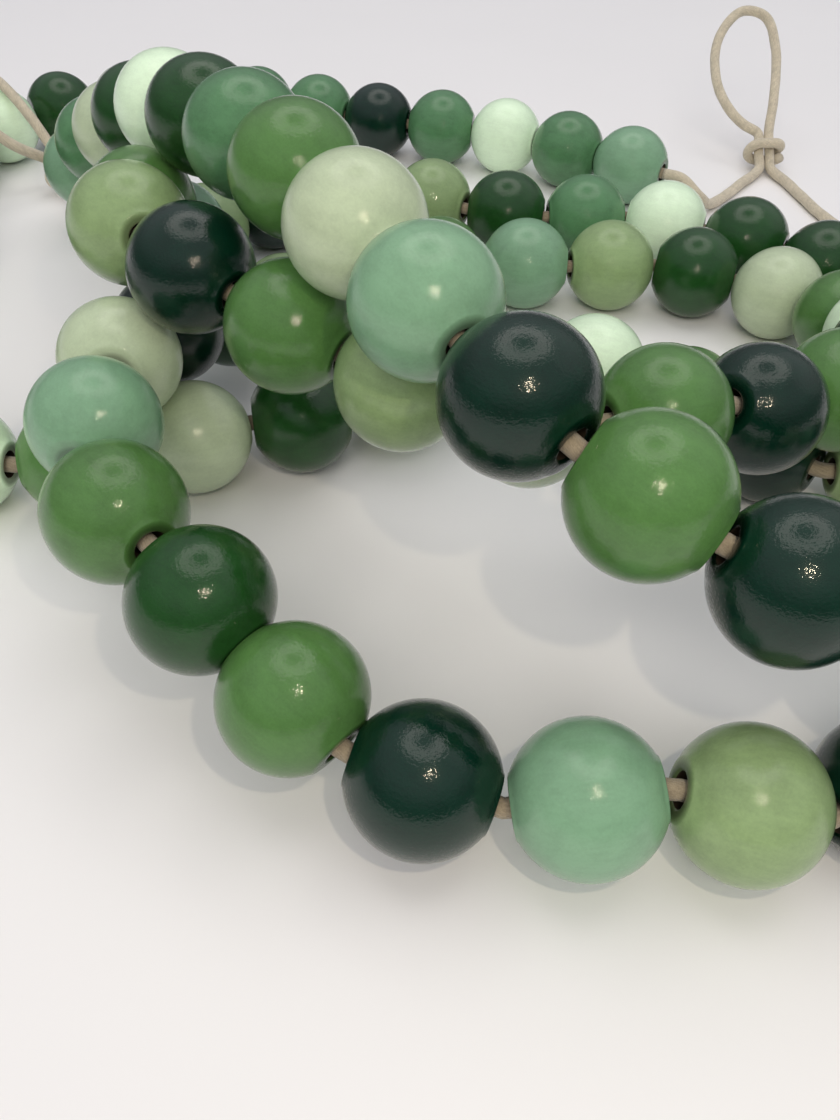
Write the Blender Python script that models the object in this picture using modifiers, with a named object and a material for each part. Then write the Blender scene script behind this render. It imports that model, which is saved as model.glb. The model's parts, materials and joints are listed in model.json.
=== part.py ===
"""Wood bead garland, lying in a loose heap.

Round painted wood beads are threaded on one cotton cord.  Each end of the cord
has a hanging loop, tied off with a small wrapped knot.  The garland lies on the
plane z = 0 with the origin under the middle of its beads.  Units are metres
and +Z is up.
"""

import math
from collections import namedtuple

import bmesh
import bpy
from mathutils import Matrix, Vector

MM = 0.001

# Bead: a turned ball, a little shorter along its bore, with flat ends
BEAD_RADIUS = 10.0 * MM
BEAD_CROWN = 9.6 * MM
BEAD_HALF_LENGTH = 8.65 * MM
BORE_RADIUS = 2.3 * MM
BEAD_SIDES = 9
BEAD_BANDS = 5
MERGE = 0.01 * MM
SHARP_ANGLE = math.radians(50.0)

# The facet under a bead that comes lower than this is pressed flat onto the surface
FLAT_SPOT_HEIGHT = 1.0 * MM

# Cord and the knots that it is tied with
CORD_RADIUS = 1.4 * MM
CORD_RESOLUTION = 2
CORD_STEP = 6.0 * MM
STRAIGHT_START = 5.0 * MM
GAP = 0.3 * MM
CURVE_STEPS = 8
LANE_OFFSET = CORD_RADIUS + 0.5 * GAP
LANE_MARKS = (-5.5 * MM, -1.8 * MM, 1.8 * MM, 5.5 * MM)
KNOT_TURNS = 1.2
KNOT_POINTS_PER_TURN = 14
KNOT_PITCH = 2.0 * CORD_RADIUS + GAP
KNOT_WRAP_RADIUS = 2.0 * CORD_RADIUS + GAP

UP = Vector((0.0, 0.0, 1.0))

# Under the middle of the beads' box, which becomes the origin
HEAP_MIDDLE = Vector((12.1, 194.1, 0.0)) * MM

# Paint on the beads, and the bare cotton of the cord
PAINTS = {
    "forest": (0.028, 0.102, 0.042),
    "teal": (0.014, 0.069, 0.060),
    "leaf": (0.110, 0.322, 0.092),
    "fern": (0.078, 0.216, 0.098),
    "olive": (0.254, 0.402, 0.171),
    "mint": (0.275, 0.521, 0.367),
    "sage": (0.546, 0.624, 0.434),
    "pale": (0.716, 0.831, 0.584),
}
PAINT_ROUGHNESS = 0.38
COTTON = (0.686, 0.617, 0.479)
COTTON_ROUGHNESS = 0.9

# The string, leg by leg.  Each leg starts at its first route point and ends where
# the next leg starts; its beads share its length evenly.
Leg = namedtuple("Leg", "name beads_per_solid paints route")
LEGS = (
    Leg(
        "back row", 3,
        "mint fern pale fern teal fern",
        ((62.0, 271.2, 9.8), (16.8, 296.7, 9.9), (-16.9, 303.6, 9.9)),
    ),
    Leg(
        "back row under the arch", 4,
        "fern forest sage forest",
        ((-42.8, 313.6, 9.9), (-76.5, 317.6, 9.9)),
    ),
    Leg(
        "left turn", 5,
        "pale leaf fern teal mint leaf forest sage leaf",
        ((-117.1, 299.9, 9.9), (-131.0, 254.6, 9.8), (-115.5, 215.6, 9.8), (-118.7, 170.6, 9.9)),
    ),
    Leg(
        "floor run", 2,
        "pale leaf sage forest",
        ((-89.5, 138.0, 9.8), (-55.0, 138.9, 9.9), (-19.8, 156.4, 9.5)),
    ),
    Leg(
        "floor run under the bridge", 2,
        "olive leaf pale leaf teal olive",
        ((-12.9, 154.6, 10.0), (10.4, 176.6, 9.7), (53.8, 164.2, 10.0), (55.4, 147.6, 9.8)),
    ),
    Leg(
        "right turn", 4,
        "leaf teal mint olive",
        ((91.3, 141.3, 9.8), (110.4, 165.7, 9.9)),
    ),
    Leg(
        "third row", 3,
        "forest forest pale fern forest olive",
        ((98.5, 213.3, 9.8), (53.4, 241.9, 9.9), (16.1, 242.0, 9.7)),
    ),
    Leg(
        "third row under the arch", 4,
        "fern teal olive leaf",
        ((-8.8, 253.0, 10.1), (-56.1, 231.2, 9.8)),
    ),
    Leg(
        "climb", 3,
        "mint leaf olive",
        ((-51.5, 200.1, 16.5), (-50.7, 187.2, 35.5), (-55.8, 173.8, 39.7)),
    ),
    Leg(
        "bridge", 1,
        "teal leaf olive sage leaf teal",
        ((-44.4, 149.9, 44.5), (-11.9, 129.1, 37.4), (14.5, 115.9, 35.2), (44.0, 124.0, 34.6)),
    ),
    Leg(
        "right drop", 2,
        "leaf teal pale leaf",
        ((57.9, 133.7, 26.8), (73.0, 138.9, 29.8), (82.4, 164.7, 22.8), (84.2, 159.6, 23.2)),
    ),
    Leg(
        "second row", 2,
        "sage forest olive mint leaf",
        ((84.3, 199.3, 10.4), (55.5, 217.3, 9.9), (38.5, 215.5, 9.8)),
    ),
    Leg(
        "second row under the arch", 3,
        "teal olive forest",
        ((-7.2, 214.5, 10.0), (-36.0, 188.1, 10.4)),
    ),
    Leg(
        "left side", 1,
        "teal sage mint leaf forest",
        ((-41.5, 170.3, 20.4), (-53.0, 144.3, 27.0), (-48.0, 139.0, 30.0),
         (-51.0, 116.6, 27.2), (-21.5, 86.0, 24.5)),
    ),
    Leg(
        "front row", 1,
        "leaf teal mint olive teal",
        ((-21.9, 86.8, 20.1), (-22.4, 82.2, 18.0), (17.2, 69.9, 9.6),
         (32.0, 71.7, 14.1), (45.1, 68.6, 10.4)),
    ),
    Leg(
        "front turn", 4,
        "leaf sage forest mint",
        ((69.7, 79.6, 10.0), (124.3, 70.7, 9.8)),
    ),
    Leg(
        "front round", 4,
        "pale forest olive fern",
        ((148.3, 79.6, 9.8), (156.3, 112.5, 10.1)),
    ),
    Leg(
        "front rise", 4,
        "teal mint sage forest",
        ((107.9, 129.7, 10.5), (68.5, 85.5, 26.4)),
    ),
    Leg(
        "arch", 1,
        "teal leaf teal mint sage leaf",
        ((50.7, 80.3, 35.3), (14.8, 94.8, 49.3), (-9.1, 129.1, 56.8)),
    ),
    Leg(
        "arch end", 1,
        "fern forest pale forest sage fern mint",
        ((-24.8, 155.2, 57.3), (-54.5, 203.1, 46.9), (-65.3, 219.7, 36.2), (-79.9, 241.3, 25.1)),
    ),
)
STRING_END = (-90.3, 255.6, 8.9)

# The free cord at each end: its knot, which way that faces, the cord's way from the
# last bead to it, the loop, and the tail that comes back out
CordEnd = namedtuple("CordEnd", "name at_start knot heading rise lead loop tail")
CORD_ENDS = (
    CordEnd(
        name="right",
        at_start=True,
        knot=(97.1, 301.6, 5.5),
        heading=90.0,
        rise=36.0,
        lead=((71.5, 266.3, 6.0), (75.5, 269.9, 2.4), (80.5, 276.0, 1.6), (87.6, 285.9, 1.6)),
        loop=((91.3, 308.6, 10.4), (86.4, 314.3, 14.2), (83.8, 322.1, 19.6), (85.2, 332.8, 27.0),
              (92.4, 340.3, 32.6), (99.3, 338.8, 31.8), (102.0, 330.2, 25.7), (100.9, 316.9, 16.4)),
        tail=((101.4, 289.0, 1.6), (103.5, 278.4, 1.5), (105.9, 266.8, 1.5), (110.4, 255.7, 1.5),
              (117.3, 246.9, 1.5)),
    ),
    CordEnd(
        name="left",
        at_start=False,
        knot=(-99.3, 270.5, 5.6),
        heading=135.0,
        rise=20.0,
        lead=(),
        loop=((-109.5, 266.6, 13.5), (-115.5, 266.5, 18.0), (-125.9, 271.7, 21.9), (-139.3, 280.2, 20.5),
              (-149.3, 289.3, 15.0), (-150.7, 297.9, 13.0), (-143.0, 301.9, 15.5), (-131.8, 298.4, 20.8),
              (-121.1, 291.6, 22.2), (-110.7, 282.7, 16.6)),
        tail=((-90.6, 269.6, 2.6), (-84.4, 274.0, 1.5), (-77.2, 277.4, 1.5)),
    ),
)


def clear_scene():
    """Empty the scene."""
    for obj in list(bpy.data.objects):
        bpy.data.objects.remove(obj, do_unlink=True)


def make_collection(name):
    collection = bpy.data.collections.new(name)
    bpy.context.scene.collection.children.link(collection)
    return collection


def place(point):
    """A table's point, given in millimetres, in metres about the origin."""
    return Vector(point) * MM - HEAP_MIDDLE


def make_material(name, colour, roughness):
    """A plain opaque finish."""
    finish = bpy.data.materials.new(name)
    finish.use_nodes = True
    shader = finish.node_tree.nodes["Principled BSDF"]
    shader.inputs["Base Color"].default_value = (*colour, 1.0)
    shader.inputs["Roughness"].default_value = roughness
    shader.inputs["Metallic"].default_value = 0.0
    return finish


def passing(first, second, start, end, time):
    """Where a steady move from first, at start, to second, at end, is at a time."""
    return first.lerp(second, (time - start) / (end - start))


def smooth_span(p0, p1, p2, p3):
    """Points from p1 up to p2 on the centripetal Catmull-Rom curve of four points."""
    t0 = 0.0
    t1 = t0 + math.sqrt((p1 - p0).length)
    t2 = t1 + math.sqrt((p2 - p1).length)
    t3 = t2 + math.sqrt((p3 - p2).length)
    points = []
    for step in range(CURVE_STEPS):
        time = t1 + (t2 - t1) * step / CURVE_STEPS
        a1 = passing(p0, p1, t0, t1, time)
        a2 = passing(p1, p2, t1, t2, time)
        a3 = passing(p2, p3, t2, t3, time)
        b1 = passing(a1, a2, t0, t2, time)
        b2 = passing(a2, a3, t1, t3, time)
        points.append(passing(b1, b2, t1, t2, time))
    return points


def smooth_curve(route):
    """A smooth line of points through a route."""
    before = 2.0 * route[0] - route[1]
    after = 2.0 * route[-1] - route[-2]
    ends = [before, *route, after]
    points = []
    for index in range(len(route) - 1):
        points += smooth_span(*ends[index:index + 4])
    points.append(route[-1])
    return points


def evenly_spaced(line, count):
    """Points that part a line into equal lengths, both of its ends included."""
    travelled = [0.0]
    for first, second in zip(line, line[1:]):
        travelled.append(travelled[-1] + (second - first).length)
    points = []
    segment = 0
    for index in range(count + 1):
        distance = travelled[-1] * index / count
        while segment < len(line) - 2 and travelled[segment + 1] < distance:
            segment += 1
        start, end = travelled[segment:segment + 2]
        points.append(passing(line[segment], line[segment + 1], start, end, distance))
    return points


def thread_joints():
    """Where the cord passes from one bead to the next, and its two ends in the beads."""
    route = [place(point) for leg in LEGS for point in leg.route]
    route.append(place(STRING_END))
    line = smooth_curve(route)
    joints = []
    first = 0
    for leg in LEGS:
        last = first + CURVE_STEPS * len(leg.route)
        joints += evenly_spaced(line[first:last + 1], len(leg.paints.split()))[:-1]
        first = last
    joints.append(line[-1])
    return joints


def frame_along(start, end):
    """A frame in the middle of two points, its Z axis along them and its Y axis upward."""
    axis = (end - start).normalized()
    side = UP.cross(axis).normalized()
    frame = Matrix((side, axis.cross(side), axis)).transposed().to_4x4()
    frame.translation = (start + end) / 2.0
    return frame


def bead_outline():
    """The turned profile of a bead: its outer side from top to bottom, then its bore."""
    mouth_angle = math.asin(BEAD_HALF_LENGTH / BEAD_CROWN)
    outline = []
    for band in range(BEAD_BANDS + 1):
        angle = mouth_angle * (1.0 - 2.0 * band / BEAD_BANDS)
        outline.append((BEAD_RADIUS * math.cos(angle), 0.0, BEAD_CROWN * math.sin(angle)))
    outline.append((BORE_RADIUS, 0.0, -BEAD_HALF_LENGTH))
    outline.append((BORE_RADIUS, 0.0, BEAD_HALF_LENGTH))
    return outline


def turned_bead():
    """The mesh of one bead, turned about Z, with a facet square to -Y."""
    outline = bead_outline()
    edges = [(index, (index + 1) % len(outline)) for index in range(len(outline))]
    profile = bpy.data.meshes.new("bead_profile")
    profile.from_pydata(outline, edges, [])
    lathe = bpy.data.objects.new("bead_lathe", profile)
    bpy.context.scene.collection.objects.link(lathe)
    screw = lathe.modifiers.new("turn", "SCREW")
    screw.steps = BEAD_SIDES
    screw.render_steps = BEAD_SIDES
    screw.use_merge_vertices = True
    screw.merge_threshold = MERGE
    turned = lathe.evaluated_get(bpy.context.evaluated_depsgraph_get())
    bead = bpy.data.meshes.new_from_object(turned)
    bpy.data.objects.remove(lathe, do_unlink=True)
    bpy.data.meshes.remove(profile)
    facet_turn = math.pi / BEAD_SIDES - math.pi / 2.0
    bead.transform(Matrix.Rotation(facet_turn, 4, "Z"))
    return bead


def open_mouth(bm, faces, end):
    """Cut away the flat ring at one end of a bead, and return its outer and bore rims."""
    ring = [
        face for face in faces
        if face.is_valid and end * face.calc_center_median().z > BEAD_HALF_LENGTH - MERGE
    ]
    rims = ([], [])
    for edge in {edge for face in ring for edge in face.edges}:
        radii = [vert.co.xy.length for vert in edge.verts]
        if min(radii) > BORE_RADIUS + MERGE:
            rims[0].append(edge)
        elif max(radii) < BORE_RADIUS + MERGE:
            rims[1].append(edge)
    bmesh.ops.delete(bm, geom=ring, context="FACES")
    return rims


def bead_copies(bm, bead, count):
    """The faces of each of several beads, all still on top of one another."""
    bm.from_mesh(bead)
    first = [*bm.verts, *bm.edges, *bm.faces]
    beads = [list(bm.faces)]
    for _ in range(count - 1):
        copy = bmesh.ops.duplicate(bm, geom=first)["geom"]
        beads.append([item for item in copy if isinstance(item, bmesh.types.BMFace)])
    return beads


def join_beads(bm, bead, frames):
    """Set beads out on their frames, with a short collar from each mouth to the next."""
    home = frames[0].inverted()
    last = len(frames) - 1
    mouths = []
    for index, faces in enumerate(bead_copies(bm, bead, len(frames))):
        verts = list({vert for face in faces for vert in face.verts})
        for face in faces:
            face.material_index = index
        if index > 0:
            mouths[-1].append(open_mouth(bm, faces, -1))
        if index < last:
            mouths.append([open_mouth(bm, faces, 1)])
        bmesh.ops.transform(bm, matrix=home @ frames[index], verts=verts)
    for mouth, next_mouth in mouths:
        for rim, next_rim in zip(mouth, next_mouth):
            bmesh.ops.bridge_loops(bm, edges=rim + next_rim)
    bmesh.ops.recalc_face_normals(bm, faces=bm.faces)


def press_flat(bm, frame):
    """Press the facets that nearly touch the surface flat onto it."""
    back = frame.inverted()
    for vert in bm.verts:
        point = frame @ vert.co
        if point.z < FLAT_SPOT_HEIGHT:
            point.z = 0.0
            vert.co = back @ point


def make_beads(collection, name, bead, frames, paints):
    """One bead, or neighbours joined at their mouths, as one solid."""
    mesh = bpy.data.meshes.new(name)
    bm = bmesh.new()
    join_beads(bm, bead, frames)
    press_flat(bm, frames[0])
    bm.to_mesh(mesh)
    bm.free()
    for paint in paints:
        mesh.materials.append(bpy.data.materials["paint_" + paint])
    mesh.shade_smooth()
    mesh.set_sharp_from_angle(angle=SHARP_ANGLE)
    obj = bpy.data.objects.new(name, mesh)
    obj.matrix_world = frames[0]
    collection.objects.link(obj)


def make_string(collection, joints):
    """All the beads of the string, leg by leg."""
    bead = turned_bead()
    number = 0
    for leg in LEGS:
        paints = leg.paints.split()
        for start in range(0, len(paints), leg.beads_per_solid):
            group = paints[start:start + leg.beads_per_solid]
            ends = joints[number:number + len(group) + 1]
            frames = [frame_along(*pair) for pair in zip(ends, ends[1:])]
            make_beads(collection, f"beads_{number + 1:02d}", bead, frames, group)
            number += len(group)
    bpy.data.meshes.remove(bead)


def make_cord(collection, name, points):
    """A round cord along a line of points, with closed ends."""
    curve = bpy.data.curves.new(name, "CURVE")
    curve.dimensions = "3D"
    curve.bevel_depth = CORD_RADIUS
    curve.bevel_resolution = CORD_RESOLUTION
    curve.use_fill_caps = True
    spline = curve.splines.new("POLY")
    spline.points.add(len(points) - 1)
    for control, point in zip(spline.points, points):
        control.co = (*(point - points[0]), 1.0)
    curve.materials.append(bpy.data.materials["cotton_cord"])
    obj = bpy.data.objects.new(name, curve)
    obj.location = points[0]
    collection.objects.link(obj)


def knot_frame(end):
    """The knot's frame: Z along the two strands that it holds, X across them."""
    heading = math.radians(end.heading)
    rise = math.radians(end.rise)
    along = Vector((
        math.cos(heading) * math.cos(rise),
        math.sin(heading) * math.cos(rise),
        math.sin(rise),
    ))
    across = along.cross(UP).normalized()
    frame = Matrix((across, along.cross(across), along)).transposed().to_4x4()
    frame.translation = place(end.knot)
    return frame


def cord_end_line(end, joints):
    """The free cord from the last bead through the knot, around the loop and back out."""
    if end.at_start:
        mouth, inner = joints[0], joints[1]
    else:
        mouth, inner = joints[-1], joints[-2]
    outward = (mouth - inner).normalized()
    frame = knot_frame(end)
    entering = [frame @ Vector((-LANE_OFFSET, 0.0, mark)) for mark in LANE_MARKS]
    leaving = [frame @ Vector((LANE_OFFSET, 0.0, mark)) for mark in reversed(LANE_MARKS)]
    route = [mouth + GAP * outward, mouth + STRAIGHT_START * outward]
    route += [place(point) for point in end.lead]
    route += entering
    route += [place(point) for point in end.loop]
    route += leaving
    route += [place(point) for point in end.tail]
    return smooth_curve(route)


def line_length(line):
    return sum((second - first).length for first, second in zip(line, line[1:]))


def knot_line(end):
    """The cord wrapped around the two strands: turns about each strand, flat between."""
    frame = knot_frame(end)
    steps = round(KNOT_TURNS * KNOT_POINTS_PER_TURN)
    points = []
    for step in range(steps + 1):
        turned = step / KNOT_POINTS_PER_TURN
        angle = math.tau * (turned + 0.5 / KNOT_POINTS_PER_TURN)
        strand = math.copysign(LANE_OFFSET, math.cos(angle))
        points.append(frame @ Vector((
            strand + KNOT_WRAP_RADIUS * math.cos(angle),
            KNOT_WRAP_RADIUS * math.sin(angle),
            KNOT_PITCH * (turned - KNOT_TURNS / 2.0),
        )))
    return points


def make_cords(collection, joints):
    """The threaded cord, and the free end and the knot at each end of it."""
    make_cord(collection, "cord_threaded", joints)
    for end in CORD_ENDS:
        line = cord_end_line(end, joints)
        steps = round(line_length(line) / CORD_STEP)
        make_cord(collection, "cord_end_" + end.name, evenly_spaced(line, steps))
        make_cord(collection, "knot_" + end.name, knot_line(end))


def main():
    clear_scene()
    for name, colour in PAINTS.items():
        make_material("paint_" + name, colour, PAINT_ROUGHNESS)
    make_material("cotton_cord", COTTON, COTTON_ROUGHNESS)
    collection = make_collection("wood_bead_garland")
    joints = thread_joints()
    make_string(collection, joints)
    make_cords(collection, joints)


main()
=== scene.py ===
"""Looks of the wood bead garland: round painted beads on a cotton cord, on a pale floor."""

import json
import math
from collections import namedtuple

import bpy
import numpy as np
from mathutils import Matrix, Vector

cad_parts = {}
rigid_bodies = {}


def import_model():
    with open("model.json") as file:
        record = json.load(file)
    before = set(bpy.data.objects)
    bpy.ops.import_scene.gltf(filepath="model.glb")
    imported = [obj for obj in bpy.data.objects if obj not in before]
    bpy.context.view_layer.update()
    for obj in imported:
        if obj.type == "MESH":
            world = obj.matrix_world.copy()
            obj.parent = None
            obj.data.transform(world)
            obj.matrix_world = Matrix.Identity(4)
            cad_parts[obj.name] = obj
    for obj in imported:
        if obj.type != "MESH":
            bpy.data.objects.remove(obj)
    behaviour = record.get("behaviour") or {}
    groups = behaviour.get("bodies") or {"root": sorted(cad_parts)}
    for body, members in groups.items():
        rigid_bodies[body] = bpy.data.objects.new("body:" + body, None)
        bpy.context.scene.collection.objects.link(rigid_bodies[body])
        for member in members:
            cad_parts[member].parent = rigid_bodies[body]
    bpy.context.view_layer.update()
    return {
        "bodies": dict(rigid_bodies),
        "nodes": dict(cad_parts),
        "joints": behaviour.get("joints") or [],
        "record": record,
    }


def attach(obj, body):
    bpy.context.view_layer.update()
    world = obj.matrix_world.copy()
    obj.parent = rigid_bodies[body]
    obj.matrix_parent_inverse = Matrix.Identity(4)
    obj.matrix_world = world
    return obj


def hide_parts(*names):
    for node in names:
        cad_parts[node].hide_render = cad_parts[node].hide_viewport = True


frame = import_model()

MM = 0.001
UP = Vector((0.0, 0.0, 1.0))

# Bead: a turned ball, a little shorter along its bore, with rounded mouths
BEAD_RADIUS = 10.0 * MM
BEAD_CROWN = 9.6 * MM
BEAD_HALF_LENGTH = 8.65 * MM
BORE_RADIUS = 2.3 * MM
BEAD_SIDES = 56
END_BANDS = 12
RIM_HEIGHT = 0.3 * MM
RIM_RADIUS = 3.1 * MM
RIM_POINTS = 4
LIP_HEIGHT = 0.45 * MM
BORE_FACE_RADIUS = BORE_RADIUS + 0.1 * LIP_HEIGHT
FULL_HALF_LENGTH = 9.4 * MM
FULLNESS_STEPS = 20
BEAD_GAP = 0.1 * MM
# How far from the bore the paint darkens at each mouth: partly paint pooled there, partly painted shade
# between neighbouring beads
MOUTH_SHADE_RADIUS = 3.9 * MM
MOUTH_SHADE_WIDTH = 0.8 * MM

# From one bead to the next: how far its grain is shifted, and its step in lightness
GRAIN_SHIFT = (31.7, 17.3, 43.1)
TONE_STEP = 0.618034

# Cord and the knots that it is tied with
CORD_RADIUS = 1.4 * MM
STRAIGHT_START = 5.0 * MM
GAP = 0.3 * MM
CURVE_STEPS = 8
LANE_OFFSET = CORD_RADIUS + 0.5 * GAP
LANE_MARKS = (-5.5 * MM, -1.8 * MM, 1.8 * MM, 5.5 * MM)
KNOT_TURNS = 1.2
KNOT_POINTS_PER_TURN = 28
KNOT_PITCH = 2.0 * CORD_RADIUS + GAP
KNOT_WRAP_RADIUS = 2.0 * CORD_RADIUS + GAP
FREE_CORD_SIDES = 24
FREE_CORD_STEP = 0.9 * MM
THREADED_SIDES = 14
THREADED_STEP = 1.8 * MM
TWIST_PER_MM = 0.22
CORD_FULLNESS = 0.985
STRAND_COUNT = 3.0
STRAND_BULGE = 0.018
SLOW_BULGE = 0.012
SLOW_BULGE_PER_MM = 0.9
FRAY_WIDENING = 0.10
FRAY_FADE = 0.9

# Under the middle of the beads' box, which is the origin
HEAP_MIDDLE = Vector((12.1, 194.1, 0.0)) * MM

# The string, leg by leg. Each leg starts at its first route point and ends where
# the next leg starts; its beads share its length evenly.
Leg = namedtuple("Leg", "name beads_per_solid paints route")
LEGS = (
    Leg(
        "back row", 3,
        "mint fern pale fern teal fern",
        ((62.0, 271.2, 9.8), (16.8, 296.7, 9.9), (-16.9, 303.6, 9.9)),
    ),
    Leg(
        "back row under the arch", 4,
        "fern forest sage forest",
        ((-42.8, 313.6, 9.9), (-76.5, 317.6, 9.9)),
    ),
    Leg(
        "left turn", 5,
        "pale leaf fern teal mint leaf forest sage leaf",
        ((-117.1, 299.9, 9.9), (-131.0, 254.6, 9.8), (-115.5, 215.6, 9.8), (-118.7, 170.6, 9.9)),
    ),
    Leg(
        "floor run", 2,
        "pale leaf sage forest",
        ((-89.5, 138.0, 9.8), (-55.0, 138.9, 9.9), (-19.8, 156.4, 9.5)),
    ),
    Leg(
        "floor run under the bridge", 2,
        "olive leaf pale leaf teal olive",
        ((-12.9, 154.6, 10.0), (10.4, 176.6, 9.7), (53.8, 164.2, 10.0), (55.4, 147.6, 9.8)),
    ),
    Leg(
        "right turn", 4,
        "leaf teal mint olive",
        ((91.3, 141.3, 9.8), (110.4, 165.7, 9.9)),
    ),
    Leg(
        "third row", 3,
        "forest forest pale fern forest olive",
        ((98.5, 213.3, 9.8), (53.4, 241.9, 9.9), (16.1, 242.0, 9.7)),
    ),
    Leg(
        "third row under the arch", 4,
        "fern teal olive leaf",
        ((-8.8, 253.0, 10.1), (-56.1, 231.2, 9.8)),
    ),
    Leg(
        "climb", 3,
        "mint leaf olive",
        ((-51.5, 200.1, 16.5), (-50.7, 187.2, 35.5), (-55.8, 173.8, 39.7)),
    ),
    Leg(
        "bridge", 1,
        "teal leaf olive sage leaf teal",
        ((-44.4, 149.9, 44.5), (-11.9, 129.1, 37.4), (14.5, 115.9, 35.2), (44.0, 124.0, 34.6)),
    ),
    Leg(
        "right drop", 2,
        "leaf teal pale leaf",
        ((57.9, 133.7, 26.8), (73.0, 138.9, 29.8), (82.4, 164.7, 22.8), (84.2, 159.6, 23.2)),
    ),
    Leg(
        "second row", 2,
        "sage forest olive mint leaf",
        ((84.3, 199.3, 10.4), (55.5, 217.3, 9.9), (38.5, 215.5, 9.8)),
    ),
    Leg(
        "second row under the arch", 3,
        "teal olive forest",
        ((-7.2, 214.5, 10.0), (-36.0, 188.1, 10.4)),
    ),
    Leg(
        "left side", 1,
        "teal sage mint leaf forest",
        ((-41.5, 170.3, 20.4), (-53.0, 144.3, 27.0), (-48.0, 139.0, 30.0),
         (-51.0, 116.6, 27.2), (-21.5, 86.0, 24.5)),
    ),
    Leg(
        "front row", 1,
        "leaf teal mint olive teal",
        ((-21.9, 86.8, 20.1), (-22.4, 82.2, 18.0), (17.2, 69.9, 9.6),
         (32.0, 71.7, 14.1), (45.1, 68.6, 10.4)),
    ),
    Leg(
        "front turn", 4,
        "leaf sage forest mint",
        ((69.7, 79.6, 10.0), (124.3, 70.7, 9.8)),
    ),
    Leg(
        "front round", 4,
        "pale forest olive fern",
        ((148.3, 79.6, 9.8), (156.3, 112.5, 10.1)),
    ),
    Leg(
        "front rise", 4,
        "teal mint sage forest",
        ((107.9, 129.7, 10.5), (68.5, 85.5, 26.4)),
    ),
    Leg(
        "arch", 1,
        "teal leaf teal mint sage leaf",
        ((50.7, 80.3, 35.3), (14.8, 94.8, 49.3), (-9.1, 129.1, 56.8)),
    ),
    Leg(
        "arch end", 1,
        "fern forest pale forest sage fern mint",
        ((-24.8, 155.2, 57.3), (-54.5, 203.1, 46.9), (-65.3, 219.7, 36.2), (-79.9, 241.3, 25.1)),
    ),
)
STRING_END = (-90.3, 255.6, 8.9)

# The free cord at each end: its knot, which way that faces, the cord's way from the
# last bead to it, the loop, and the tail that comes back out
CordEnd = namedtuple("CordEnd", "name at_start knot heading rise lead loop tail")
CORD_ENDS = (
    CordEnd(
        name="right",
        at_start=True,
        knot=(97.1, 301.6, 5.5),
        heading=90.0,
        rise=36.0,
        lead=((71.5, 266.3, 6.0), (75.5, 269.9, 2.4), (80.5, 276.0, 1.6), (87.6, 285.9, 1.6)),
        loop=((91.3, 308.6, 10.4), (86.4, 314.3, 14.2), (83.8, 322.1, 19.6), (85.2, 332.8, 27.0),
              (92.4, 340.3, 32.6), (99.3, 338.8, 31.8), (102.0, 330.2, 25.7), (100.9, 316.9, 16.4)),
        tail=((101.4, 289.0, 1.6), (103.5, 278.4, 1.5), (105.9, 266.8, 1.5), (110.4, 255.7, 1.5),
              (117.3, 246.9, 1.5)),
    ),
    CordEnd(
        name="left",
        at_start=False,
        knot=(-99.3, 270.5, 5.6),
        heading=135.0,
        rise=20.0,
        lead=(),
        loop=((-109.5, 266.6, 13.5), (-115.5, 266.5, 18.0), (-125.9, 271.7, 21.9), (-139.3, 280.2, 20.5),
              (-149.3, 289.3, 15.0), (-150.7, 297.9, 13.0), (-143.0, 301.9, 15.5), (-131.8, 298.4, 20.8),
              (-121.1, 291.6, 22.2), (-110.7, 282.7, 16.6)),
        tail=((-90.6, 269.6, 2.6), (-84.4, 274.0, 1.5), (-77.2, 277.4, 1.5)),
    ),
)

# Paint on the beads: the main colour, how far it varies towards light and dark, and
# how rough it is
Paint = namedtuple("Paint", "colour contrast roughness")
PAINTS = {
    "forest": Paint((0.0090, 0.0500, 0.0090), 0.26, 0.36),
    "teal": Paint((0.0006, 0.0170, 0.0090), 0.30, 0.34),
    "leaf": Paint((0.073, 0.174, 0.046), 0.20, 0.40),
    "fern": Paint((0.078, 0.195, 0.087), 0.22, 0.38),
    "olive": Paint((0.240, 0.345, 0.158), 0.16, 0.40),
    "mint": Paint((0.190, 0.350, 0.215), 0.14, 0.44),
    "sage": Paint((0.460, 0.550, 0.370), 0.12, 0.42),
    "pale": Paint((0.715, 0.900, 0.660), 0.10, 0.42),
}

# How much each pattern adds to a paint's lightness, and to its relief
BLOTCH_WEIGHT = 1.3
STREAK_WEIGHT = 0.9
PIT_WEIGHT = 0.60
FINE_WEIGHT = 0.50
TONE_WEIGHT = 0.16
PAINT_BASE = -0.93
# The next value darkens the paint near the mouths: pooled paint and painted shade between beads
POOLED_PAINT_AND_SHADE = -0.45
STREAK_ROUGHNESS = 0.16
STREAK_RELIEF = 0.55
PIT_RELIEF = 0.45
PAINT_RELIEF = 0.05 * MM

# Wood in the bores, painted near black as the shade inside them, and cotton, with what its patterns add
# to its lightness
BORE_WOOD_IN_SHADE = (0.030, 0.020, 0.012)
COTTON = (0.580, 0.515, 0.390)
# Darker cotton for the threaded cord: painted shade where it shows in the gaps between beads
COTTON_IN_SHADE = (0.350, 0.290, 0.200)
FIBRE_WEIGHT = 1.6
PATCH_WEIGHT = 0.7
FLECK_WEIGHT = 0.9
COTTON_BASE = -0.95
FLECK_RELIEF = 0.5
COTTON_RELIEF = 0.20 * MM

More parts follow.
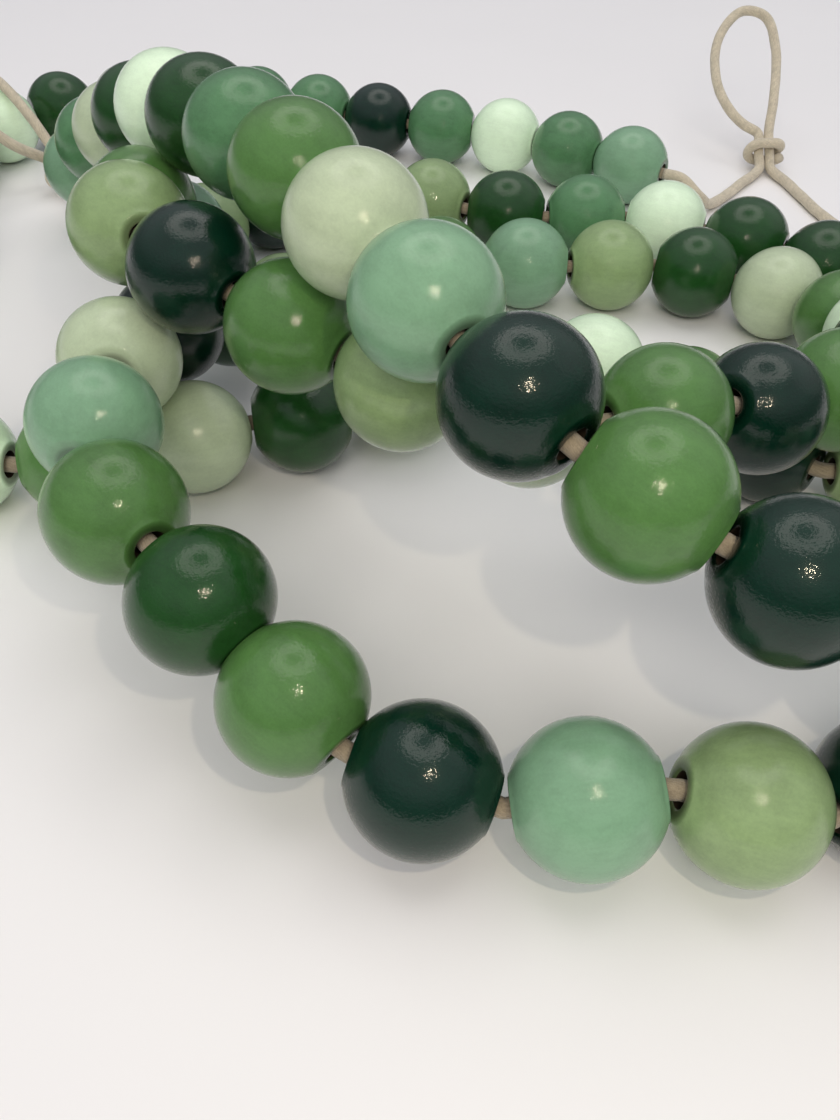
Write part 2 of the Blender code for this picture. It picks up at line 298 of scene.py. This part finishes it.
# Camera and light
CAMERA_PLACE = (0.0, 0.0, 116.4)
CAMERA_PITCH = 42.72
CAMERA_ROLL = 1.77
CAMERA_LENS = 32.53
CAMERA_NEAR = 0.005
SENSOR_HEIGHT = 36.0
FLOOR = (0.88, 0.87, 0.87)
FLOOR_HALF_WIDTH = 2.5
FLOOR_DROP = 0.02 * MM
FLOOR_RELIEF = 0.05 * MM
ROOM_WALLS = (0.12, 0.12, 0.13)
ROOM_CEILING = (0.50, 0.51, 0.56)
ROOM_DIM_BELOW = 0.05
ROOM_BRIGHT_ABOVE = 0.75

# Lamps: a ring overhead, and three round ones
RING_SIDES = 48
RING_INNER = 0.20
RING_OUTER = 0.50
RING_PLACE = (0.0, 0.20, 0.90)
RING_COLOUR = (1.0, 0.98, 0.97)
RING_STRENGTH = 1.90
Lamp = namedtuple("Lamp", "name spot target size power colour mirrored")
LAMPS = (
    Lamp(
        name="window", spot=(0.75, 0.35, 0.65), target=(0.0, 0.0, 0.0), size=1.2,
        power=0.5, colour=(1.0, 0.97, 0.93), mirrored=True,
    ),
    Lamp(
        name="spark", spot=(0.0169, -0.1941, 0.1594), target=(0.0, -0.05, 0.0), size=0.005,
        power=0.045, colour=(1.0, 0.86, 0.62), mirrored=True,
    ),
    Lamp(
        name="fill", spot=(-0.15, -1.20, 1.00), target=(0.0, 0.0, 0.0), size=1.0,
        power=9.9, colour=(1.0, 0.93, 0.85), mirrored=False,
    ),
)

# Where a colour mix node takes its factor and its two colours, and gives its result
MIX_INPUTS = (0, 6, 7)
MIX_OUTPUT = 2


def place(point):
    """A table's point, given in millimetres, in metres about the origin."""
    return Vector(point) * MM - HEAP_MIDDLE


def passing(first, second, start, end, time):
    """Where a steady move from first, at start, to second, at end, is at a time."""
    return first.lerp(second, (time - start) / (end - start))


def smooth_span(p0, p1, p2, p3):
    """Points from p1 up to p2 on a smooth curve that passes through four points."""
    t0 = 0.0
    t1 = t0 + math.sqrt((p1 - p0).length)
    t2 = t1 + math.sqrt((p2 - p1).length)
    t3 = t2 + math.sqrt((p3 - p2).length)
    points = []
    for step in range(CURVE_STEPS):
        time = t1 + (t2 - t1) * step / CURVE_STEPS
        a1 = passing(p0, p1, t0, t1, time)
        a2 = passing(p1, p2, t1, t2, time)
        a3 = passing(p2, p3, t2, t3, time)
        b1 = passing(a1, a2, t0, t2, time)
        b2 = passing(a2, a3, t1, t3, time)
        points.append(passing(b1, b2, t1, t2, time))
    return points


def smooth_curve(route):
    """A smooth line of points through a route."""
    before = 2.0 * route[0] - route[1]
    after = 2.0 * route[-1] - route[-2]
    ends = [before, *route, after]
    points = []
    for index in range(len(route) - 1):
        points += smooth_span(*ends[index:index + 4])
    points.append(route[-1])
    return points


def line_length(line):
    """The length of a line of points."""
    return sum((second - first).length for first, second in zip(line, line[1:]))


def evenly_spaced(line, count):
    """Points that part a line into equal lengths, both of its ends included."""
    travelled = [0.0]
    for first, second in zip(line, line[1:]):
        travelled.append(travelled[-1] + (second - first).length)
    points = []
    segment = 0
    for index in range(count + 1):
        distance = travelled[-1] * index / count
        while segment < len(line) - 2 and travelled[segment + 1] < distance:
            segment += 1
        start, end = travelled[segment:segment + 2]
        points.append(passing(line[segment], line[segment + 1], start, end, distance))
    return points


def thread_joints():
    """Where the cord passes from one bead to the next, and its two ends in the beads."""
    route = [place(point) for leg in LEGS for point in leg.route]
    route.append(place(STRING_END))
    line = smooth_curve(route)
    joints = []
    first = 0
    for leg in LEGS:
        last = first + CURVE_STEPS * len(leg.route)
        joints += evenly_spaced(line[first:last + 1], len(leg.paints.split()))[:-1]
        first = last
    joints.append(line[-1])
    return joints


def frame_along(start, end):
    """A frame in the middle of two points, its Z axis along them and its Y axis upward."""
    axis = (end - start).normalized()
    side = UP.cross(axis).normalized()
    frame = Matrix((side, axis.cross(side), axis)).transposed().to_4x4()
    frame.translation = (start + end) / 2.0
    return frame


def knot_frame(end):
    """The knot's frame: Z along the two strands that it holds, X across them."""
    heading = math.radians(end.heading)
    rise = math.radians(end.rise)
    along = Vector((
        math.cos(heading) * math.cos(rise),
        math.sin(heading) * math.cos(rise),
        math.sin(rise),
    ))
    across = along.cross(UP).normalized()
    frame = Matrix((across, along.cross(across), along)).transposed().to_4x4()
    frame.translation = place(end.knot)
    return frame


def cord_end_line(end, joints):
    """The free cord from the last bead through the knot, around the loop and back out."""
    if end.at_start:
        mouth, inner = joints[0], joints[1]
    else:
        mouth, inner = joints[-1], joints[-2]
    outward = (mouth - inner).normalized()
    frame = knot_frame(end)
    entering = [frame @ Vector((-LANE_OFFSET, 0.0, mark)) for mark in LANE_MARKS]
    leaving = [frame @ Vector((LANE_OFFSET, 0.0, mark)) for mark in reversed(LANE_MARKS)]
    route = [mouth + GAP * outward, mouth + STRAIGHT_START * outward]
    route += [place(point) for point in end.lead]
    route += entering
    route += [place(point) for point in end.loop]
    route += leaving
    route += [place(point) for point in end.tail]
    return smooth_curve(route)


def knot_line(end):
    """The cord wrapped around the two strands: turns about each strand, flat between."""
    frame = knot_frame(end)
    steps = round(KNOT_TURNS * KNOT_POINTS_PER_TURN)
    points = []
    for step in range(steps + 1):
        turned = step / KNOT_POINTS_PER_TURN
        angle = math.tau * (turned + 0.5 / KNOT_POINTS_PER_TURN)
        strand = math.copysign(LANE_OFFSET, math.cos(angle))
        points.append(frame @ Vector((
            strand + KNOT_WRAP_RADIUS * math.cos(angle),
            KNOT_WRAP_RADIUS * math.sin(angle),
            KNOT_PITCH * (turned - KNOT_TURNS / 2.0),
        )))
    return points


def add_node(tree, kind, inputs, **settings):
    """A node with its settings, each of its inputs set to a value or joined to an output."""
    node = tree.nodes.new(kind)
    for name, value in settings.items():
        setattr(node, name, value)
    for name, value in inputs.items():
        if isinstance(value, bpy.types.NodeSocket):
            tree.links.new(value, node.inputs[name])
        else:
            node.inputs[name].default_value = value
    return node


def shared_space(tree, scale):
    """Coordinates in millimetres that a piece carries along, stretched by a scale."""
    carried = add_node(tree, "ShaderNodeAttribute", {}, attribute_name="grain")
    inputs = {"Vector": carried.outputs["Vector"], "Scale": scale}
    return add_node(tree, "ShaderNodeMapping", inputs).outputs["Vector"]


def add_noise(tree, space, scale, detail, roughness=0.55):
    """A cloudy pattern, from 0 to 1, in a space."""
    inputs = {"Vector": space, "Scale": scale, "Detail": detail, "Roughness": roughness}
    return add_node(tree, "ShaderNodeTexNoise", inputs).outputs["Fac"]


def weighted(tree, value, weight, base):
    """base + weight * value, each of value and base a number or an output."""
    node = add_node(tree, "ShaderNodeMath", {0: value, 1: weight, 2: base}, operation="MULTIPLY_ADD")
    return node.outputs["Value"]


def mixed_colour(tree, factor, first, second):
    """The first colour at factor 0 and the second at 1, each a value or an output."""
    node = tree.nodes.new("ShaderNodeMix")
    node.data_type = "RGBA"
    for socket, value in zip(MIX_INPUTS, (factor, first, second)):
        if isinstance(value, bpy.types.NodeSocket):
            tree.links.new(value, node.inputs[socket])
        else:
            node.inputs[socket].default_value = value
    return node.outputs[MIX_OUTPUT]


def bumped(tree, height, strength, distance):
    """The direction that a surface seems to face under a relief."""
    inputs = {"Height": height, "Strength": strength, "Distance": distance}
    return add_node(tree, "ShaderNodeBump", inputs).outputs["Normal"]


def shaded(colour, amount):
    """A colour made lighter, or darker where amount is negative, with its own hue."""
    return (*(channel * (1.0 + amount) for channel in colour), 1.0)


def new_finish(name):
    """A new finish, with its nodes and its shader."""
    finish = bpy.data.materials.new(name)
    finish.use_nodes = True
    return finish, finish.node_tree, finish.node_tree.nodes["Principled BSDF"]


def paint_finish(word, paint):
    """Satin paint brushed over turned wood: blotches, streaks along the bore, fine pits."""
    finish, tree, shader = new_finish("satin_paint_" + word)
    round_space = shared_space(tree, (1.0, 1.0, 1.0))
    long_space = shared_space(tree, (1.0, 1.0, 0.14))
    blotches = add_noise(tree, round_space, scale=0.24, detail=3.0)
    streaks = add_noise(tree, long_space, scale=1.1, detail=4.0, roughness=0.65)
    pits = add_noise(tree, round_space, scale=3.2, detail=3.0, roughness=0.6)
    fine = add_noise(tree, round_space, scale=2.4, detail=2.0, roughness=0.6)
    tone = add_node(tree, "ShaderNodeAttribute", {}, attribute_name="tone").outputs["Fac"]
    # How near the mouth each point is, which darkens the paint there: pooled paint and painted shade
    # between beads
    mouth_pool_and_shade = add_node(tree, "ShaderNodeAttribute", {}, attribute_name="mouth").outputs["Fac"]

    light = weighted(tree, blotches, BLOTCH_WEIGHT, PAINT_BASE)
    light = weighted(tree, streaks, STREAK_WEIGHT, light)
    light = weighted(tree, pits, PIT_WEIGHT, light)
    light = weighted(tree, fine, FINE_WEIGHT, light)
    light = weighted(tree, tone, TONE_WEIGHT, light)
    body = mixed_colour(
        tree, light,
        shaded(paint.colour, -paint.contrast), shaded(paint.colour, paint.contrast),
    )
    pooled_and_shaded_body = mixed_colour(tree, mouth_pool_and_shade, body, shaded(paint.colour, POOLED_PAINT_AND_SHADE))
    tree.links.new(pooled_and_shaded_body, shader.inputs["Base Color"])

    rough = weighted(tree, streaks, STREAK_ROUGHNESS, paint.roughness - 0.5 * STREAK_ROUGHNESS)
    tree.links.new(rough, shader.inputs["Roughness"])
    shader.inputs["Specular IOR Level"].default_value = 0.08
    shader.inputs["Coat Weight"].default_value = 0.85
    shader.inputs["Coat Roughness"].default_value = 0.08
    shader.inputs["Coat IOR"].default_value = 1.5

    relief = weighted(tree, streaks, STREAK_RELIEF, 0.0)
    relief = weighted(tree, pits, PIT_RELIEF, relief)
    tree.links.new(bumped(tree, relief, 0.5, PAINT_RELIEF), shader.inputs["Normal"])
    tree.links.new(bumped(tree, fine, 1.0, PAINT_RELIEF), shader.inputs["Coat Normal"])
    return finish


def bore_wood_in_shade_finish():
    """The unpainted wood in a bead's bore, painted near black as painted shade inside it."""
    finish, tree, shader = new_finish("bore_wood_painted_dark")
    grain = add_noise(tree, shared_space(tree, (1.0, 1.0, 0.1)), scale=3.0, detail=4.0)
    colour = mixed_colour(tree, grain, shaded(BORE_WOOD_IN_SHADE, -0.5), shaded(BORE_WOOD_IN_SHADE, 0.6))
    tree.links.new(colour, shader.inputs["Base Color"])
    shader.inputs["Roughness"].default_value = 0.85
    return finish


def cotton_finish(name, cotton):
    """Softly spun cotton: fibres that wind around the cord, with darker and paler flecks."""
    finish, tree, shader = new_finish(name)
    fibre_space = shared_space(tree, (1.0, 1.0, 0.22))
    round_space = shared_space(tree, (1.0, 1.0, 1.0))
    fibres = add_noise(tree, fibre_space, scale=4.5, detail=5.0, roughness=0.7)
    patches = add_noise(tree, round_space, scale=0.5, detail=3.0)
    flecks = add_noise(tree, round_space, scale=6.0, detail=2.0, roughness=0.6)
    light = weighted(tree, fibres, FIBRE_WEIGHT, COTTON_BASE)
    light = weighted(tree, patches, PATCH_WEIGHT, light)
    light = weighted(tree, flecks, FLECK_WEIGHT, light)
    colour = mixed_colour(tree, light, shaded(cotton, -0.42), shaded(cotton, 0.30))
    tree.links.new(colour, shader.inputs["Base Color"])
    shader.inputs["Roughness"].default_value = 0.92
    shader.inputs["Sheen Weight"].default_value = 0.35
    shader.inputs["Sheen Roughness"].default_value = 0.5
    shader.inputs["Specular IOR Level"].default_value = 0.2
    relief = weighted(tree, flecks, FLECK_RELIEF, fibres)
    tree.links.new(bumped(tree, relief, 1.0, COTTON_RELIEF), shader.inputs["Normal"])
    return finish


def rounded_corner(inner, outer, low, high, points):
    """A quarter round from the outer radius, low down, to the inner radius at the top."""
    corner = []
    for point in range(points + 1):
        angle = 0.5 * math.pi * point / points
        corner.append((
            inner + (outer - inner) * math.cos(angle),
            low + (high - low) * math.sin(angle),
        ))
    return corner


def end_outline(fullness):
    """One end of a bead, as radius and height from its widest ring to its bore.

    An end of no fullness is as short as the bead's solid, and a full one is nearly as
    long as its ball."""
    crown = BEAD_CROWN + fullness * (BEAD_RADIUS - BEAD_CROWN)
    half_length = BEAD_HALF_LENGTH + fullness * (FULL_HALF_LENGTH - BEAD_HALF_LENGTH)
    side_end = half_length - RIM_HEIGHT
    side_angle = math.asin(side_end / crown)
    outline = []
    for band in range(END_BANDS + 1):
        angle = side_angle * band / END_BANDS
        outline.append((BEAD_RADIUS * math.cos(angle), crown * math.sin(angle)))
    outline += rounded_corner(RIM_RADIUS, outline[-1][0], side_end, half_length, RIM_POINTS)[1:]
    lip = rounded_corner(
        BORE_RADIUS + LIP_HEIGHT, BORE_RADIUS, half_length - LIP_HEIGHT, half_length, RIM_POINTS,
    )
    return outline + lip[::-1]


def bead_outline(lower_fullness, upper_fullness):
    """A bead's closed outline: up its lower half, down into the bore and back."""
    upper = end_outline(upper_fullness)
    lower = [(radius, -height) for radius, height in end_outline(lower_fullness)]
    return np.array(upper[::-1] + lower[1:] + [(BORE_RADIUS, 0.0)])


def fullness_beside(neighbour_way, own_way, half_pitch):
    """How full a bead's end can be and stay on its own side of the bend to its neighbour."""
    half_bend = 0.5 * own_way.angle(neighbour_way)
    room = half_pitch * math.cos(half_bend) - 0.5 * BEAD_GAP
    for step in range(FULLNESS_STEPS, 0, -1):
        fullness = step / FULLNESS_STEPS
        reach = max(
            height * math.cos(half_bend) + radius * math.sin(half_bend)
            for radius, height in end_outline(fullness)
        )
        if reach < room:
            return fullness
    return 0.0


def bead_forms(joints):
    """The mesh points of every bead of the string, about its own middle, and their faces."""
    ways = [(end - start).normalized() for start, end in zip(joints, joints[1:])]
    pitches = [(end - start).length for start, end in zip(joints, joints[1:])]
    forms = []
    for index, way in enumerate(ways):
        before = ways[max(index - 1, 0)]
        after = ways[min(index + 1, len(ways) - 1)]
        lower = fullness_beside(before, way, 0.5 * pitches[index])
        upper = fullness_beside(after, way, 0.5 * pitches[index])
        forms.append(revolved(bead_outline(lower, upper), BEAD_SIDES))
    return forms


def revolved(outline, sides):
    """Points of an outline turned about Z, ring by ring, and the faces between them."""
    turn = np.arange(sides) * math.tau / sides
    radius = outline[:, :1]
    height = outline[:, 1:] + 0.0 * turn
    points = np.stack([radius * np.cos(turn), radius * np.sin(turn), height], axis=2)
    ring = np.arange(len(outline))[:, None] * sides
    next_ring = np.roll(ring, -1, axis=0)
    spot = np.arange(sides)
    next_spot = np.roll(spot, -1)
    corners = (ring + spot, next_ring + spot, next_ring + next_spot, ring + next_spot)
    faces = np.stack(corners, axis=2)
    return points.reshape(-1, 3), faces.reshape(-1, 4)


def new_mesh(name, points, faces):
    """A smooth mesh of arrays of points and faces."""
    mesh = bpy.data.meshes.new(name)
    mesh.from_pydata(points.tolist(), [], faces.tolist())
    mesh.shade_smooth()
    return mesh


def carry(mesh, name, kind, field, values):
    """Store values on a mesh's points under a name that its finish reads."""
    attribute = mesh.attributes.new(name, kind, "POINT")
    attribute.data.foreach_set(field, np.asarray(values, np.float32).ravel())


def bead_tone(number):
    """A spread of light and dark from bead to bead, from -1 to 1."""
    return 2.0 * ((number * TONE_STEP) % 1.0) - 1.0


def add_piece(name, mesh, node):
    """Show a mesh as the piece that stands for a solid."""
    piece = bpy.data.objects.new(name, mesh)
    bpy.context.scene.collection.objects.link(piece)
    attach(piece, "root")
    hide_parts(node)
    return piece


def make_bead_piece(name, node, frames, paints, first_number, forms, finishes):
    """The fine beads that stand for one solid, as one piece."""
    words = sorted(set(paints))
    points, faces, slots, grain, tone, near_mouth = [], [], [], [], [], []
    for index, (seat, word, (ball, ball_faces)) in enumerate(zip(frames, paints, forms)):
        face_middles = ball[ball_faces].mean(axis=1)
        bore = np.hypot(face_middles[:, 0], face_middles[:, 1]) < BORE_FACE_RADIUS
        inside = MOUTH_SHADE_RADIUS - np.hypot(ball[:, 0], ball[:, 1])
        # Nearness to the mouth, for the paint's darkening there: pooled paint and painted shade between
        # beads
        near_mouth.append(np.clip(inside / MOUTH_SHADE_WIDTH, 0.0, 1.0))
        turned = np.c_[ball, np.ones(len(ball))] @ np.array(seat).T
        points.append(turned[:, :3])
        faces.append(ball_faces + index * len(ball))
        slots.append(np.where(bore, len(words), words.index(word)))
        grain.append(ball / MM + np.array(GRAIN_SHIFT) * (first_number + index))
        tone.append(np.full(len(ball), bead_tone(first_number + index)))
    points = np.concatenate(points)
    points[:, 2] = np.maximum(points[:, 2], 0.0)
    mesh = new_mesh(name, points, np.concatenate(faces))
    carry(mesh, "grain", "FLOAT_VECTOR", "vector", np.concatenate(grain))
    carry(mesh, "tone", "FLOAT", "value", np.concatenate(tone))
    carry(mesh, "mouth", "FLOAT", "value", np.concatenate(near_mouth))
    for word in words:
        mesh.materials.append(finishes[word])
    mesh.materials.append(finishes["bore"])
    mesh.polygons.foreach_set("material_index", np.concatenate(slots).astype(np.int32))
    add_piece(name, mesh, node)


def make_string(joints, finishes):
    """All the beads, leg by leg, a piece for each solid."""
    forms = bead_forms(joints)
    number = 0
    for leg in LEGS:
        paints = leg.paints.split()
        for start in range(0, len(paints), leg.beads_per_solid):
            group = paints[start:start + leg.beads_per_solid]
            ends = joints[number:number + len(group) + 1]
            frames = [frame_along(*pair) for pair in zip(ends, ends[1:])]
            label = f"{number + 1:02d}"
            make_bead_piece(
                "painted_beads_" + label, "beads_" + label, frames, group, number + 1,
                forms[number:number + len(group)], finishes,
            )
            number += len(group)


def travelling_frames(line):
    """Two directions square to the line at each of its points, with as little turn as can be."""
    line = np.array(line)
    ahead = np.gradient(line, axis=0)
    ahead /= np.linalg.norm(ahead, axis=1)[:, None]
    side = np.cross(ahead[0], (0.0, 0.0, 1.0))
    side /= np.linalg.norm(side)
    sides = []
    for direction in ahead:
        side = side - direction * np.dot(side, direction)
        side /= np.linalg.norm(side)
        sides.append(side)
    sides = np.array(sides)
    return sides, np.cross(ahead, sides)


def cord_radius(travelled, wound, angles, worn_ends):
    """The cord's radius at each point of each ring: a little uneven, wider at a cut end."""
    distance_mm = travelled[:, None] / MM
    strands = STRAND_BULGE * np.sin(STRAND_COUNT * wound)
    slow = SLOW_BULGE * np.sin(SLOW_BULGE_PER_MM * distance_mm + 2.0 * angles)
    radius = CORD_RADIUS * CORD_FULLNESS * (1.0 + strands + slow)
    if worn_ends:
        left = (travelled[-1] - travelled)[:, None] / CORD_RADIUS
        radius = radius * (1.0 + FRAY_WIDENING * np.exp(-left * FRAY_FADE))
    return radius


def tube_faces(count, sides_count):
    """The faces of a tube of rings, with a fan around a hub point at each end."""
    ring = np.arange(count - 1)[:, None] * sides_count
    next_ring = ring + sides_count
    spot = np.arange(sides_count)
    next_spot = np.roll(spot, -1)
    corners = (ring + spot, ring + next_spot, next_ring + next_spot, next_ring + spot)
    faces = np.stack(corners, axis=2).reshape(-1, 4).tolist()
    start_hub, end_hub = count * sides_count, count * sides_count + 1
    last = (count - 1) * sides_count
    pairs = list(zip(spot.tolist(), next_spot.tolist()))
    faces += [(start_hub, second, first) for first, second in pairs]
    faces += [(end_hub, last + first, last + second) for first, second in pairs]
    return faces


def cord_grain(wound, distance_mm):
    """Where each point of a cord lies in the cotton, as if the cord were straight."""
    rings = np.stack([
        CORD_RADIUS / MM * np.cos(wound),
        CORD_RADIUS / MM * np.sin(wound),
        distance_mm + 0.0 * wound,
    ], axis=2)
    hubs = np.array([(0.0, 0.0, 0.0), (0.0, 0.0, distance_mm[-1, 0])])
    return np.concatenate([rings.reshape(-1, 3), hubs])


def make_cord_piece(name, node, line, sides_count, finish, worn_ends):
    """A round spun cord along a line, its ends closed and, where they are cut, a little frayed."""
    points = np.array(line)
    travelled = np.r_[0.0, np.cumsum(np.linalg.norm(np.diff(points, axis=0), axis=1))]
    distance_mm = travelled[:, None] / MM
    angles = np.arange(sides_count) * math.tau / sides_count
    wound = angles - TWIST_PER_MM * distance_mm
    radius = cord_radius(travelled, wound, angles, worn_ends)
    sides, ups = travelling_frames(line)
    around = (
        np.cos(angles)[None, :, None] * sides[:, None, :]
        + np.sin(angles)[None, :, None] * ups[:, None, :]
    )
    rings = points[:, None, :] + radius[:, :, None] * around
    rings[:, :, 2] = np.maximum(rings[:, :, 2], 0.0)
    verts = np.concatenate([rings.reshape(-1, 3), points[:1], points[-1:]])
    mesh = bpy.data.meshes.new(name)
    mesh.from_pydata(verts.tolist(), [], tube_faces(len(points), sides_count))
    mesh.shade_smooth()
    carry(mesh, "grain", "FLOAT_VECTOR", "vector", cord_grain(wound, distance_mm))
    mesh.materials.append(finish)
    return add_piece(name, mesh, node)


def make_cords(joints):
    """The threaded cord, and the free end and the knot at each end of it."""
    # The threaded cord gets the darker cotton, a painted shade between the beads
    inner_finish = cotton_finish("cotton_in_shade", COTTON_IN_SHADE)
    finish = cotton_finish("natural_cotton", COTTON)
    threaded = evenly_spaced(joints, round(line_length(joints) / THREADED_STEP))
    make_cord_piece("twine_threaded", "cord_threaded", threaded, THREADED_SIDES, inner_finish, False)
    for end in CORD_ENDS:
        knot = make_cord_piece(
            "twine_knot_" + end.name, "knot_" + end.name, knot_line(end),
            FREE_CORD_SIDES, finish, False,
        )
        line = cord_end_line(end, joints)
        length = line_length(line)
        line = evenly_spaced(line, round(length / FREE_CORD_STEP))
        cord = make_cord_piece(
            "twine_end_" + end.name, "cord_end_" + end.name, line,
            FREE_CORD_SIDES, finish, True,
        )


def make_camera():
    """A close camera, in front of the heap and above it, looking down on the front row."""
    pitch, roll = math.radians(CAMERA_PITCH), math.radians(CAMERA_ROLL)
    ahead = Vector((0.0, math.cos(pitch), -math.sin(pitch)))
    level = Vector((1.0, 0.0, 0.0))
    upward = level.cross(ahead)
    right = math.cos(roll) * level + math.sin(roll) * upward
    top = math.cos(roll) * upward - math.sin(roll) * level
    camera = bpy.data.objects.new("camera", bpy.data.cameras.new("camera"))
    camera.data.sensor_fit = "VERTICAL"
    camera.data.sensor_height = SENSOR_HEIGHT
    camera.data.lens = CAMERA_LENS
    camera.data.clip_start = CAMERA_NEAR
    camera.matrix_world = Matrix((right, top, -ahead)).transposed().to_4x4()
    camera.location = place(CAMERA_PLACE)
    bpy.context.scene.collection.objects.link(camera)
    bpy.context.scene.camera = camera


def floor_finish():
    """A matt white surface with a faint uneven tone."""
    finish, tree, shader = new_finish("white_surface")
    where = add_node(tree, "ShaderNodeTexCoord", {}).outputs["Object"]
    clouds = add_noise(tree, where, scale=9.0, detail=3.0)
    fine = add_noise(tree, where, scale=900.0, detail=2.0)
    colour = mixed_colour(tree, clouds, shaded(FLOOR, -0.03), shaded(FLOOR, 0.02))
    tree.links.new(colour, shader.inputs["Base Color"])
    shader.inputs["Roughness"].default_value = 0.6
    tree.links.new(bumped(tree, fine, 0.15, FLOOR_RELIEF), shader.inputs["Normal"])
    return finish


def make_floor():
    """A wide flat surface just under the string."""
    half = FLOOR_HALF_WIDTH
    outline = ((-half, -half), (half, -half), (half, half), (-half, half))
    corners = np.array([(x, y, -FLOOR_DROP) for x, y in outline])
    mesh = new_mesh("floor", corners, np.array([(0, 1, 2, 3)]))
    mesh.materials.append(floor_finish())
    floor = bpy.data.objects.new("floor", mesh)
    bpy.context.scene.collection.objects.link(floor)


def make_lamp(lamp):
    """A round soft lamp that faces a target, which the paint mirrors or not."""
    data = bpy.data.lights.new(lamp.name, "AREA")
    data.shape = "DISK"
    data.size = lamp.size
    data.energy = lamp.power
    data.color = lamp.colour
    way = Vector(lamp.target) - Vector(lamp.spot)
    holder = bpy.data.objects.new(lamp.name, data)
    holder.location = lamp.spot
    holder.rotation_euler = way.to_track_quat("-Z", "Y").to_euler()
    holder.visible_glossy = lamp.mirrored
    bpy.context.scene.collection.objects.link(holder)


def make_ring_lamp():
    """A flat bright ring overhead, which the paint mirrors as a soft ring."""
    turn = np.arange(RING_SIDES) * math.tau / RING_SIDES
    circle = np.stack([np.cos(turn), np.sin(turn), 0.0 * turn], axis=1)
    points = np.concatenate([RING_INNER * circle, RING_OUTER * circle])
    spot = np.arange(RING_SIDES)
    next_spot = np.roll(spot, -1)
    faces = np.stack([spot, next_spot, RING_SIDES + next_spot, RING_SIDES + spot], axis=1)
    mesh = new_mesh("ring_lamp", points, faces)
    glow = bpy.data.materials.new("ring_glow")
    glow.use_nodes = True
    tree = glow.node_tree
    tree.nodes.remove(tree.nodes["Principled BSDF"])
    inputs = {"Color": (*RING_COLOUR, 1.0), "Strength": RING_STRENGTH}
    light = add_node(tree, "ShaderNodeEmission", inputs)
    tree.links.new(light.outputs["Emission"], tree.nodes["Material Output"].inputs["Surface"])
    mesh.materials.append(glow)
    lamp = bpy.data.objects.new("ring_lamp", mesh)
    lamp.location = RING_PLACE
    lamp.rotation_euler = (-Vector(RING_PLACE)).to_track_quat("-Z", "Y").to_euler()
    lamp.visible_camera = False
    bpy.context.scene.collection.objects.link(lamp)


def make_world():
    """A room that is dim at eye level and bright towards its ceiling."""
    world = bpy.data.worlds.new("pale_room")
    world.use_nodes = True
    tree = world.node_tree
    direction = add_node(tree, "ShaderNodeTexCoord", {}).outputs["Generated"]
    height = add_node(tree, "ShaderNodeSeparateXYZ", {"Vector": direction}).outputs["Z"]
    raised = add_node(tree, "ShaderNodeMapRange", {
        "Value": height, "From Min": ROOM_DIM_BELOW, "From Max": ROOM_BRIGHT_ABOVE,
    }, interpolation_type="SMOOTHSTEP").outputs["Result"]
    colour = mixed_colour(tree, raised, (*ROOM_WALLS, 1.0), (*ROOM_CEILING, 1.0))
    tree.links.new(colour, tree.nodes["Background"].inputs["Color"])
    bpy.context.scene.world = world
    bpy.context.scene.view_settings.view_transform = "Standard"


def main():
    """Make the camera, the cords and the beads, then all that stands around them."""
    make_camera()
    joints = thread_joints()
    finishes = {word: paint_finish(word, paint) for word, paint in PAINTS.items()}
    finishes["bore"] = bore_wood_in_shade_finish()
    make_cords(joints)
    make_string(joints, finishes)
    make_floor()
    make_world()
    make_ring_lamp()
    for lamp in LAMPS:
        make_lamp(lamp)


main()
